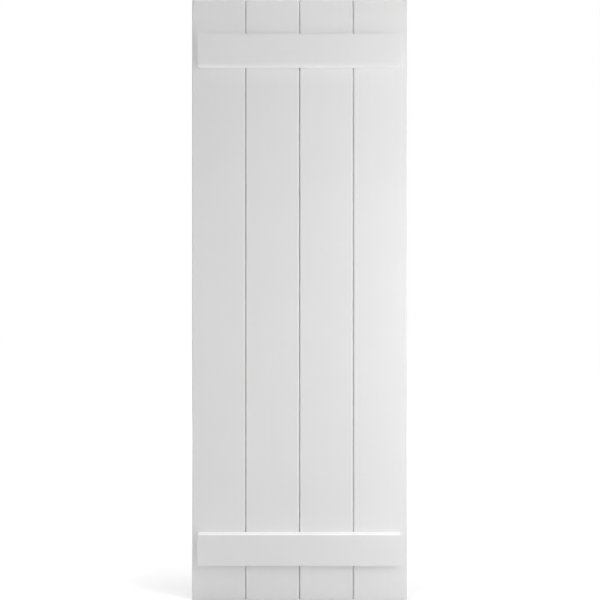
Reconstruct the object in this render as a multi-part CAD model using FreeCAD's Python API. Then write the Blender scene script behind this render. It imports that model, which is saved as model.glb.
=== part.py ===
"""Board and batten shutter: four tongue-and-groove boards held by two battens across the front.

The origin is the centre of the back, the face that lies on the wall. +Z is up, +X is to the
right as seen from the front, and the front looks along -Y. All sizes are in millimetres.
"""

import FreeCAD
import Part
import math
import os

from FreeCAD import Vector

# Boards: stock with a tongue on its right edge and a groove in its left one
BOARD_COUNT = 4
BOARD_LENGTH = 1524.0
BOARD_FACE_WIDTH = 136.525
BOARD_THICKNESS = 19.05
SIDE_CHAMFER = 3.175
END_CHAMFER = 1.6

# V-joint with a tongue and groove behind it, a little open at its foot and at the back
V_WIDTH = 3.175
V_DEPTH = 4.7625
FRONT_SHOULDER = 1.5875
FRONT_SHOULDER_GAP = 0.2
BACK_SHOULDER_GAP = 0.8
TONGUE_LENGTH = 6.35
TONGUE_THICKNESS = 6.35
TONGUE_TIP_CHAMFER = 0.8
TONGUE_SIDE_PLAY = 0.2
TONGUE_END_PLAY = 0.8

# Battens: cross pieces on the front of the boards
BATTEN_HEIGHT = 77.0
BATTEN_THICKNESS = 19.05
BATTEN_SIDE_INSET = 18.0
BATTEN_END_INSET = 96.5
BATTEN_EDGE_RADIUS = 0.5

# Countersunk screws, driven from the back: two in each board at each batten, set diagonally
SCREW_CLEARANCE_DIAMETER = 4.5
SCREW_HEAD_DIAMETER = 8.6
SCREW_HEAD_ANGLE = 82.0
SCREW_PILOT_DIAMETER = 2.8
PILOT_TO_BATTEN_FRONT = 5.0
SCREW_SPACING_ACROSS = 64.0
SCREW_SPACING_UP = 38.0

# Places that follow from the sizes above
SHUTTER_WIDTH = BOARD_COUNT * BOARD_FACE_WIDTH
BOARD_FRONT = -BOARD_THICKNESS
BATTEN_FRONT = BOARD_FRONT - BATTEN_THICKNESS
TONGUE_FRONT = BOARD_FRONT + V_DEPTH + FRONT_SHOULDER
TONGUE_BACK = TONGUE_FRONT + TONGUE_THICKNESS
BATTEN_CENTRE = BOARD_LENGTH / 2 - BATTEN_END_INSET - BATTEN_HEIGHT / 2
BATTEN_CENTRES = {"top_batten": BATTEN_CENTRE, "bottom_batten": -BATTEN_CENTRE}

NEAR = 1e-6
TOWARDS_FRONT = Vector(0, -1, 0)


def board_left(index):
    """The x of the left joint line of a board, counted from 0 at the left."""
    return index * BOARD_FACE_WIDTH - SHUTTER_WIDTH / 2


def left_edge_outline(x, grooved):
    """Section of a board's left edge at x, from the back to the front face."""
    if not grooved:
        return [(x, 0), (x, BOARD_FRONT + SIDE_CHAMFER), (x + SIDE_CHAMFER, BOARD_FRONT)]
    groove_foot = x + TONGUE_LENGTH + TONGUE_END_PLAY
    return [
        (x, 0),
        (x, TONGUE_BACK + TONGUE_SIDE_PLAY),
        (groove_foot, TONGUE_BACK + TONGUE_SIDE_PLAY),
        (groove_foot, TONGUE_FRONT - TONGUE_SIDE_PLAY),
        (x, TONGUE_FRONT - TONGUE_SIDE_PLAY),
        (x, BOARD_FRONT + V_DEPTH),
        (x + V_WIDTH, BOARD_FRONT),
    ]


def right_edge_outline(x, tongued):
    """Section of a board's right edge at x, from the front face to the back."""
    if not tongued:
        return [(x - SIDE_CHAMFER, BOARD_FRONT), (x, BOARD_FRONT + SIDE_CHAMFER), (x, 0)]
    front_shoulder = x - FRONT_SHOULDER_GAP
    back_shoulder = x - BACK_SHOULDER_GAP
    tip = x + TONGUE_LENGTH
    return [
        (front_shoulder - V_WIDTH, BOARD_FRONT),
        (front_shoulder, BOARD_FRONT + V_DEPTH),
        (front_shoulder, TONGUE_FRONT),
        (tip - TONGUE_TIP_CHAMFER, TONGUE_FRONT),
        (tip, TONGUE_FRONT + TONGUE_TIP_CHAMFER),
        (tip, TONGUE_BACK - TONGUE_TIP_CHAMFER),
        (tip - TONGUE_TIP_CHAMFER, TONGUE_BACK),
        (back_shoulder, TONGUE_BACK),
        (back_shoulder, 0),
    ]


def front_edges(shape, front, keep):
    """Edges of a shape that lie in the plane y = front and whose middle point passes keep."""
    found = []
    for edge in shape.Edges:
        box = edge.BoundBox
        in_plane = abs(box.YMin - front) < NEAR and abs(box.YMax - front) < NEAR
        if in_plane and keep(edge.CenterOfMass):
            found.append(edge)
    return found


def screw_places(index):
    """The (x, z) of the screws through a board: a diagonal pair at each batten."""
    centre = board_left(index) + BOARD_FACE_WIDTH / 2
    across = SCREW_SPACING_ACROSS / 2
    up = SCREW_SPACING_UP / 2
    places = []
    for height in BATTEN_CENTRES.values():
        places.append((centre - across, height + up))
        places.append((centre + across, height - up))
    return places


def board_screw_hole(x, z):
    """Clearance hole through a board, countersunk in the back."""
    mouth_radius = SCREW_HEAD_DIAMETER / 2
    shank_radius = SCREW_CLEARANCE_DIAMETER / 2
    sink_depth = (mouth_radius - shank_radius) / math.tan(math.radians(SCREW_HEAD_ANGLE / 2))
    mouth = Vector(x, 0, z)
    sink = Part.makeCone(mouth_radius, shank_radius, sink_depth, mouth, TOWARDS_FRONT)
    shank = Part.makeCylinder(shank_radius, BOARD_THICKNESS, mouth, TOWARDS_FRONT)
    return sink.fuse(shank)


def batten_pilot_hole(x, z):
    """Blind hole for a screw's thread, in the back of a batten."""
    depth = BATTEN_THICKNESS - PILOT_TO_BATTEN_FRONT
    mouth = Vector(x, BOARD_FRONT, z)
    return Part.makeCylinder(SCREW_PILOT_DIAMETER / 2, depth, mouth, TOWARDS_FRONT)


def board(index):
    """One upright board, with its joint edges, eased ends and screw holes."""
    left = board_left(index)
    outline = left_edge_outline(left, grooved=index > 0)
    outline += right_edge_outline(left + BOARD_FACE_WIDTH, tongued=index < BOARD_COUNT - 1)
    foot = -BOARD_LENGTH / 2
    points = [Vector(x, y, foot) for x, y in outline]
    section = Part.Face(Part.makePolygon(points + points[:1]))
    blank = section.extrude(Vector(0, 0, BOARD_LENGTH))

    def at_an_end(middle):
        return abs(abs(middle.z) - BOARD_LENGTH / 2) < NEAR

    eased = blank.makeChamfer(END_CHAMFER, front_edges(blank, BOARD_FRONT, at_an_end))
    return eased.cut([board_screw_hole(x, z) for x, z in screw_places(index)])


def batten(height):
    """One cross piece centred at a height, with a rounded front rim and pilot holes."""
    length = SHUTTER_WIDTH - 2 * BATTEN_SIDE_INSET
    corner = Vector(-length / 2, BATTEN_FRONT, height - BATTEN_HEIGHT / 2)
    blank = Part.makeBox(length, BATTEN_THICKNESS, BATTEN_HEIGHT, corner)
    rim = front_edges(blank, BATTEN_FRONT, lambda middle: True)
    rounded = blank.makeFillet(BATTEN_EDGE_RADIUS, rim)
    holes = []
    for index in range(BOARD_COUNT):
        for x, z in screw_places(index):
            if abs(z - height) < BATTEN_HEIGHT / 2:
                holes.append(batten_pilot_hole(x, z))
    return rounded.cut(holes)


def shutter_pieces():
    """Every piece of the shutter by name."""
    pieces = {f"board_{index + 1}": board(index) for index in range(BOARD_COUNT)}
    for name, height in BATTEN_CENTRES.items():
        pieces[name] = batten(height)
    return pieces


os.makedirs("parts", exist_ok=True)
for name, piece in shutter_pieces().items():
    piece.exportStep(f"parts/{name}.step")
    print(name, "valid" if piece.isValid() else "NOT VALID", len(piece.Solids), round(piece.Volume))
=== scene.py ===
import math
import random

import bmesh
import bpy
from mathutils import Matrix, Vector


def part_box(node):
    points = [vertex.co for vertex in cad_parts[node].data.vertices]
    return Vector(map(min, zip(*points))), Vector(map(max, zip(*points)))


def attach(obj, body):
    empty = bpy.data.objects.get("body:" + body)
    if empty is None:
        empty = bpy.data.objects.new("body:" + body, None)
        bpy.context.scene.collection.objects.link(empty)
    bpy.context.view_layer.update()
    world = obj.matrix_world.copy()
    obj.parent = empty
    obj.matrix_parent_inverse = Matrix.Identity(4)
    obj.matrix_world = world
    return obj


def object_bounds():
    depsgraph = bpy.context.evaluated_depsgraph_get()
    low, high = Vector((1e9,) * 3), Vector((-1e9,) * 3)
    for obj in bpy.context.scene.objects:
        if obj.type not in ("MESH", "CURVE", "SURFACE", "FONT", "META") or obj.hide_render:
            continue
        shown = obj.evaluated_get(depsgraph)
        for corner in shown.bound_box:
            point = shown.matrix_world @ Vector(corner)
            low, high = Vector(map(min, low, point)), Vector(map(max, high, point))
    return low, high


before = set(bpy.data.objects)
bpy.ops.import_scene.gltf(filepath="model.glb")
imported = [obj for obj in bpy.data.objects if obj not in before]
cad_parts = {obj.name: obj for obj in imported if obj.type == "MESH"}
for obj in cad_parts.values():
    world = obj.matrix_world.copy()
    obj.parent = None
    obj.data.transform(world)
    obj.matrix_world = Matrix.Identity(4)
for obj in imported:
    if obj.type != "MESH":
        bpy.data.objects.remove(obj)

cad_low, cad_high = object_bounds()

# The shutter in the row frame, in metres
BOARD_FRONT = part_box("board_1")[0].y
FOOT = cad_low.z
BOARD_COUNT = 4
BATTENS = ("top_batten", "bottom_batten")

# The V-joint between two boards: one flank's width and depth, and how far it faces the front
V_WIDTH = 0.003175
V_DEPTH = 0.0047625
FLANK_FACING = V_WIDTH / math.hypot(V_WIDTH, V_DEPTH)

# The photograph: a square frame that the shutter fills from top to bottom
PHOTO_SIZE = 600
OUTLINE_CENTRE = 299.5
CAMERA_DISTANCE = 1.380
END_CHAMFER = 0.0016
SENSOR = 36.0

# Colours
WHITE_PVC = (0.80, 0.80, 0.80)
MILLED_PVC = (0.72, 0.72, 0.72)
SAWN_PVC = (0.73, 0.73, 0.725)
# Long edges of the battens: white PVC made lighter than the skin, as painted light on their top and
# bottom faces
BATTEN_EDGE_PAINTED_LIGHT_PVC = (0.88, 0.88, 0.88)
# Flanks of the V-joints: a painted highlight at their top and a painted shade towards their foot
FLANK_PAINTED_HIGHLIGHT_PVC = (0.89, 0.89, 0.89)
FLANK_PAINTED_SHADE_PVC = (0.68, 0.68, 0.675)
STEEL = (0.62, 0.61, 0.59)
PALE_FLOOR = (0.70, 0.70, 0.70)
WHITE = (1.0, 1.0, 1.0)

# A face counts as square to an axis from the first share of its normal, and fully from the second
SQUARE_FROM = 0.90
SQUARE_FULLY = 0.99

# Most of a noise texture's values lie between these
NOISE_LOW = 0.3
NOISE_HIGH = 0.7

# Patterns of the PVC and of the painted shade in the V-joints: scales per metre, shares in the tone, and
# how far the tone and that shade change
DRIFT_SCALE = 5.0
STREAK_SCALE = 260.0
GRAIN_SCALE = 700.0
CELL_SCALE = 900.0
FLANK_SHADE_NOISE_SCALE = 45.0
DRIFT_SHARE = 0.65
STREAK_SHARE = 0.35
TONE_CHANGE = 0.015
FLANK_SHADE_CHANGE = 0.2

# Finish and relief of the PVC: roughness, and heights in metres
SKIN_ROUGHNESS = (0.52, 0.62)
MILLED_ROUGHNESS = 0.66
SAWN_ROUGHNESS = 0.75
SKIN_RELIEF = 0.00002
GRAIN_SHARE = 0.4
CELL_DEPTH = 0.00012
CELL_REACH = 0.35

# Finish of the steel: fine turned rings, as radians per metre of radius, and duller patches
RING_PHASE = 42000.0
RING_HEIGHT = 0.000004
PATCH_SCALE = 400.0
STEEL_ROUGHNESS = (0.26, 0.40)

# Floor: its own glow to the eye, near the foot and far from it, and where each begins
FLOOR_HALF = 8.0
NEAR_FOOT = 0.4
FAR_FROM_FOOT = 1.6
NEAR_GLOW = 0.30
FAR_GLOW = 0.68

# Screws that hold the battens: a diagonal pair in each board at each batten
SCREW_ACROSS = 0.032
SCREW_UP = 0.019
SEED = 7

# One screw, from the back: its cross recess, how far its head is sunk, its outline as (radius, depth)
RECESS_REACH = 0.0023
RECESS_HALF_WIDTH = 0.00055
RECESS_DEPTH = 0.0017
RECESS_TAPER = 0.6
PIT_DEPTH = 0.001955
HEAD_SINK = 0.0001
SCREW_OUTLINE = (
    (0.00375, 0.0),
    (0.00394, 0.00006),
    (0.00400, 0.00020),
    (0.00210, 0.00238),
    (0.00210, 0.0172),
    (0.00130, 0.0186),
    (0.00130, 0.0300),
)
SCREW_TIP_DEPTH = 0.0320
SCREW_STEPS = 56
SHARP_ANGLE = math.radians(30)
FULL_TURN = 2 * math.pi
QUARTER_TURN = math.pi / 2
NEAR_ZERO = 1e-9


class Nodes:
    """The node tree of a material or a world, with short calls that add nodes and link them."""

    def __init__(self, owner):
        owner.use_nodes = True
        self.owner = owner
        self.tree = owner.node_tree
        self.tree.nodes.clear()

    def add(self, kind, inputs=None, **settings):
        """A new node. Each input is a value to set or a socket to link."""
        node = self.tree.nodes.new("ShaderNode" + kind)
        for key, value in settings.items():
            setattr(node, key, value)
        for key, value in (inputs or {}).items():
            if isinstance(value, bpy.types.NodeSocket):
                self.tree.links.new(value, node.inputs[key])
            else:
                node.inputs[key].default_value = value
        return node

    def math(self, operation, first, second=0.0):
        return self.add("Math", {0: first, 1: second}, operation=operation).outputs[0]

    def ramp(self, value, low, high, to_low=0.0, to_high=1.0):
        """A value carried from one range to another and held at its ends."""
        inputs = {"Value": value, "From Min": low, "From Max": high, "To Min": to_low, "To Max": to_high}
        return self.add("MapRange", inputs).outputs["Result"]

    def mix_colours(self, factor, first, second):
        return self.add("Mix", {0: factor, 6: first, 7: second}, data_type="RGBA").outputs[2]

    def mix_values(self, factor, first, second):
        return self.add("Mix", {0: factor, 2: first, 3: second}, data_type="FLOAT").outputs[0]

    def noise(self, place, scale, detail=2.0):
        return self.add("TexNoise", {"Vector": place, "Scale": scale, "Detail": detail}).outputs["Fac"]


def colour(rgb):
    return (*rgb, 1.0)


def pvc_material(name, along, edges):
    """White cellular PVC: a satin skin, milled edges of a given colour, ends sawn across an axis, and a
    painted highlight and a painted shade on the flanks of V-joints.
    """
    n = Nodes(bpy.data.materials.new(name))
    place = n.add("TexCoord").outputs["Object"]
    normal = n.add("SeparateXYZ", {0: n.add("NewGeometry").outputs["Normal"]})
    facing = n.math("ABSOLUTE", normal.outputs["Y"])
    ending = n.math("ABSOLUTE", normal.outputs[along])
    skin = n.ramp(facing, SQUARE_FROM, SQUARE_FULLY)
    sawn = n.ramp(ending, SQUARE_FROM, SQUARE_FULLY)

    # Slow drift of tone, and faint streaks that run along the extruded sheet
    drift = n.noise(place, DRIFT_SCALE, detail=3.0)
    stretch = [1.0 if axis == along else STREAK_SCALE for axis in "XYZ"]
    lines = n.add("Mapping", {"Vector": place, "Scale": stretch}).outputs[0]
    streak = n.noise(lines, 1.0, detail=4.0)
    drifting = n.math("MULTIPLY", drift, DRIFT_SHARE)
    tone = n.math("ADD", n.math("MULTIPLY", streak, STREAK_SHARE), drifting)
    shade = n.ramp(tone, NOISE_LOW, NOISE_HIGH, 1.0 - TONE_CHANGE, 1.0 + TONE_CHANGE)

    # Painted highlight and painted shade on the flanks of the V-joints: lighter at their top, darker
    # towards their foot, in uneven patches
    off_flank = n.math("ABSOLUTE", n.math("SUBTRACT", facing, FLANK_FACING))
    flank = n.ramp(off_flank, 0.05, 0.10, 1.0, 0.0)
    depth = n.add("SeparateXYZ", {0: place}).outputs["Y"]
    towards_foot = n.ramp(depth, BOARD_FRONT, BOARD_FRONT + V_DEPTH)
    shade_noise = n.noise(place, FLANK_SHADE_NOISE_SCALE, detail=3.0)
    patchy_shade = n.ramp(shade_noise, NOISE_LOW, NOISE_HIGH, 1.0 - FLANK_SHADE_CHANGE, 1.0 + FLANK_SHADE_CHANGE)
    painted_flank_shade = n.math("MULTIPLY", towards_foot, patchy_shade)
    joint = n.mix_colours(painted_flank_shade, colour(FLANK_PAINTED_HIGHLIGHT_PVC), colour(FLANK_PAINTED_SHADE_PVC))

    milled = n.mix_colours(flank, colour(edges), joint)
    cut = n.mix_colours(sawn, milled, colour(SAWN_PVC))
    base = n.mix_colours(skin, cut, colour(WHITE_PVC))
    toned = n.add("VectorMath", {0: base, "Scale": shade}, operation="SCALE").outputs[0]

    # Satin on the skin, duller where it was cut
    skin_rough = n.ramp(streak, 0.2, 0.8, *SKIN_ROUGHNESS)
    cut_rough = n.ramp(sawn, 0.0, 1.0, MILLED_ROUGHNESS, SAWN_ROUGHNESS)
    rough = n.mix_values(skin, cut_rough, skin_rough)

    # Relief: a fine grain and the streaks on the skin, open cells on the cuts
    grain = n.math("MULTIPLY", n.noise(place, GRAIN_SCALE), GRAIN_SHARE)
    on_skin = n.math("MULTIPLY", n.math("ADD", grain, streak), SKIN_RELIEF)
    cells = n.add("TexVoronoi", {"Vector": place, "Scale": CELL_SCALE}).outputs["Distance"]
    on_cut = n.ramp(cells, 0.0, CELL_REACH, -CELL_DEPTH, 0.0)
    relief = n.mix_values(skin, on_cut, on_skin)
    bump = n.add("Bump", {"Height": relief, "Strength": 1.0, "Distance": 1.0}).outputs[0]

    surface = {"Base Color": toned, "Roughness": rough, "IOR": 1.5, "Normal": bump}
    shader = n.add("BsdfPrincipled", surface)
    n.add("OutputMaterial", {"Surface": shader.outputs[0]})
    return n.owner


def steel_material():
    """Plain stainless steel, turned on a lathe: rings round each screw's axis."""
    n = Nodes(bpy.data.materials.new("screw_steel"))
    flat = n.add("UVMap", uv_map="UVMap").outputs[0]
    reach = n.add("VectorMath", {0: flat}, operation="LENGTH").outputs["Value"]
    rings = n.math("SINE", n.math("MULTIPLY", reach, RING_PHASE))
    bump = n.add("Bump", {"Height": n.math("MULTIPLY", rings, RING_HEIGHT), "Distance": 1.0}).outputs[0]
    patch = n.noise(n.add("TexCoord").outputs["Object"], PATCH_SCALE)
    rough = n.ramp(patch, NOISE_LOW, NOISE_HIGH, *STEEL_ROUGHNESS)
    surface = {"Base Color": colour(STEEL), "Metallic": 1.0, "Roughness": rough, "Normal": bump}
    shader = n.add("BsdfPrincipled", surface)
    n.add("OutputMaterial", {"Surface": shader.outputs[0]})
    return n.owner


def seen_directly(n):
    """One for rays from the camera or off gloss and glass, which see the white studio."""
    path = n.add("LightPath").outputs
    seen = n.math("MAXIMUM", path["Is Camera Ray"], path["Is Glossy Ray"])
    return n.math("MAXIMUM", seen, path["Is Transmission Ray"])


def floor_material():
    """Pale floor, made up to white for the eye, less so near the foot, where the shadow shows."""
    n = Nodes(bpy.data.materials.new("floor_white"))
    matte = n.add("BsdfDiffuse", {"Color": colour(PALE_FLOOR)}).outputs[0]
    place = n.add("TexCoord").outputs["Object"]
    reach = n.add("VectorMath", {0: place}, operation="LENGTH").outputs["Value"]
    made_up = n.ramp(reach, NEAR_FOOT, FAR_FROM_FOOT, NEAR_GLOW, FAR_GLOW)
    strength = n.math("MULTIPLY", seen_directly(n), made_up)
    glow = n.add("Emission", {"Color": colour(WHITE), "Strength": strength}).outputs[0]
    n.add("OutputMaterial", {"Surface": n.add("AddShader", {0: matte, 1: glow}).outputs[0]})
    return n.owner


def white_room(overhead):
    """A room that is plain white to the eye, and lights the shutter softly from overhead."""
    n = Nodes(bpy.data.worlds.new("white_room"))
    height = n.add("SeparateXYZ", {0: n.add("TexCoord").outputs["Generated"]}).outputs["Z"]
    glow = n.ramp(height, 0.0, 1.0, 0.0, overhead)
    strength = n.ramp(seen_directly(n), 0.0, 1.0, glow, 1.0)
    sky = n.add("Background", {"Color": colour(WHITE), "Strength": strength})
    n.add("OutputWorld", {"Surface": sky.outputs[0]})
    bpy.context.scene.world = n.owner


def area_light(name, place, size, watts, down=False):
    """A soft lamp that points level at the shutter's upright middle line, or straight down."""
    data = bpy.data.lights.new(name, "AREA")
    data.shape = "RECTANGLE"
    data.size, data.size_y = size
    data.energy = watts
    lamp = bpy.data.objects.new(name, data)
    lamp.location = place
    if not down:
        towards = Vector((0.0, BOARD_FRONT, place[2])) - Vector(place)
        lamp.rotation_euler = towards.to_track_quat("-Z", "Y").to_euler()
    lamp.visible_camera = False
    bpy.context.scene.collection.objects.link(lamp)


def camera():
    """The photograph's camera: square on to the middle, with the shutter's ends at the frame's edges."""
    data = bpy.data.cameras.new("camera")
    data.sensor_width = SENSOR
    half_height = (cad_high.z - cad_low.z) / 2
    data.lens = SENSOR / 2 * (CAMERA_DISTANCE + END_CHAMFER) / half_height
    data.shift_x = (PHOTO_SIZE / 2 - OUTLINE_CENTRE) / PHOTO_SIZE
    eye = bpy.data.objects.new("camera", data)
    eye.location = (0.0, BOARD_FRONT - CAMERA_DISTANCE, 0.0)
    eye.rotation_euler = (QUARTER_TURN, 0.0, 0.0)
    bpy.context.scene.collection.objects.link(eye)
    bpy.context.scene.camera = eye


def floor():
    """A wide floor at the shutter's foot."""
    half = FLOOR_HALF
    corners = [(-half, -half, 0.0), (half, -half, 0.0), (half, half, 0.0), (-half, half, 0.0)]
    mesh = bpy.data.meshes.new("floor")
    mesh.from_pydata(corners, [], [(0, 1, 2, 3)])
    mesh.materials.append(floor_material())
    plane = bpy.data.objects.new("floor", mesh)
    plane.location.z = FOOT
    bpy.context.scene.collection.objects.link(plane)


def recess_reach(angle):
    """How far the cross-shaped recess reaches from the screw's axis at an angle."""
    across = abs(math.cos(angle)) + NEAR_ZERO
    up = abs(math.sin(angle)) + NEAR_ZERO
    level = min(RECESS_REACH / across, RECESS_HALF_WIDTH / up)
    upright = min(RECESS_HALF_WIDTH / across, RECESS_REACH / up)
    return max(level, upright)


def screw_angles():
    """Angles round a screw, with the corners of its recess among them."""
    corner = math.atan2(RECESS_HALF_WIDTH, RECESS_REACH)
    angles = [FULL_TURN * step / SCREW_STEPS for step in range(SCREW_STEPS)]
    for quarter in range(4):
        angles.append(quarter * QUARTER_TURN + corner)
        angles.append(quarter * QUARTER_TURN - corner)
    return sorted(set(round(angle % FULL_TURN, 5) for angle in angles))


def add_screw(bm, x, z, turn):
    """A countersunk screw driven from the back at (x, z), its recess turned by an angle."""
    angles = screw_angles()
    profiles = [(recess_reach, RECESS_TAPER, RECESS_DEPTH), (recess_reach, 1.0, 0.0)]
    profiles += [(lambda angle: 1.0, radius, depth) for radius, depth in SCREW_OUTLINE]
    rings = []
    for reach, scale, depth in profiles:
        ring = []
        for angle in angles:
            radius = reach(angle) * scale
            side = x + radius * math.cos(angle + turn)
            height = z + radius * math.sin(angle + turn)
            ring.append(bm.verts.new((side, -HEAD_SINK - depth, height)))
        rings.append(ring)
    pit = bm.verts.new((x, -HEAD_SINK - PIT_DEPTH, z))
    tip = bm.verts.new((x, -HEAD_SINK - SCREW_TIP_DEPTH, z))
    count = len(angles)
    for i in range(count):
        j = (i + 1) % count
        for inner, outer in zip(rings, rings[1:]):
            bm.faces.new((inner[i], inner[j], outer[j], outer[i]))
        bm.faces.new((pit, rings[0][j], rings[0][i]))
        bm.faces.new((tip, rings[-1][i], rings[-1][j]))


def screw_places(batten):
    """The (x, z) of the eight screws that hold a batten."""
    low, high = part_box(batten)
    height = (low.z + high.z) / 2
    spacing = (cad_high.x - cad_low.x) / BOARD_COUNT
    places = []
    for index in range(BOARD_COUNT):
        centre = cad_low.x + spacing * (index + 0.5)
        places.append((centre - SCREW_ACROSS, height + SCREW_UP))
        places.append((centre + SCREW_ACROSS, height - SCREW_UP))
    return places


def batten_screws(batten, material):
    """The screws that hold one batten, as one piece, each laid flat round its axis for the rings."""
    chance = random.Random(SEED + BATTENS.index(batten))
    places = screw_places(batten)
    bm = bmesh.new()
    for x, z in places:
        add_screw(bm, x, z, chance.uniform(0.0, QUARTER_TURN))
    bmesh.ops.recalc_face_normals(bm, faces=bm.faces)
    flat = bm.loops.layers.uv.new("UVMap")
    for face in bm.faces:
        face.smooth = True
        middle = face.calc_center_median()
        x, z = min(places, key=lambda place: math.dist(place, (middle.x, middle.z)))
        for loop in face.loops:
            loop[flat].uv = (loop.vert.co.x - x, loop.vert.co.z - z)
    mesh = bpy.data.meshes.new(batten + "_screws")
    bm.to_mesh(mesh)
    bm.free()
    mesh.set_sharp_from_angle(angle=SHARP_ANGLE)
    mesh.materials.append(material)
    piece = bpy.data.objects.new(batten + "_screws", mesh)
    bpy.context.scene.collection.objects.link(piece)
    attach(piece, "root")


# Boards and battens keep their CAD shapes and get their materials
board_pvc = pvc_material("board_pvc", "Z", MILLED_PVC)
# The battens' long edges are lighter, as painted light on their top and bottom faces
batten_pvc = pvc_material("batten_pvc", "X", BATTEN_EDGE_PAINTED_LIGHT_PVC)
for node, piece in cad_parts.items():
    piece.material_slots[0].material = batten_pvc if node in BATTENS else board_pvc

screw_steel = steel_material()
for batten in BATTENS:
    batten_screws(batten, screw_steel)

# Studio: a tall lamp at the right, fills at the left and in front, one that grazes the front from
# above, and one for the back
white_room(overhead=0.685)
area_light("right", place=(1.0, BOARD_FRONT - 0.55, 0.09), size=(0.12, 1.62), watts=10.0)
area_light("left", place=(-1.9, BOARD_FRONT - 1.1, -0.1), size=(0.5, 0.5), watts=10.0)
area_light("front", place=(0.0, BOARD_FRONT - 1.8, 1.2), size=(0.5, 0.5), watts=5.2)
area_light("overhead", place=(0.0, BOARD_FRONT - 0.15, 3.5), size=(0.5, 0.2), watts=32.0, down=True)
area_light("back", place=(-1.2, 2.1, 0.4), size=(0.5, 0.5), watts=33.0)
floor()
camera()
bpy.context.scene.view_settings.view_transform = "Standard"
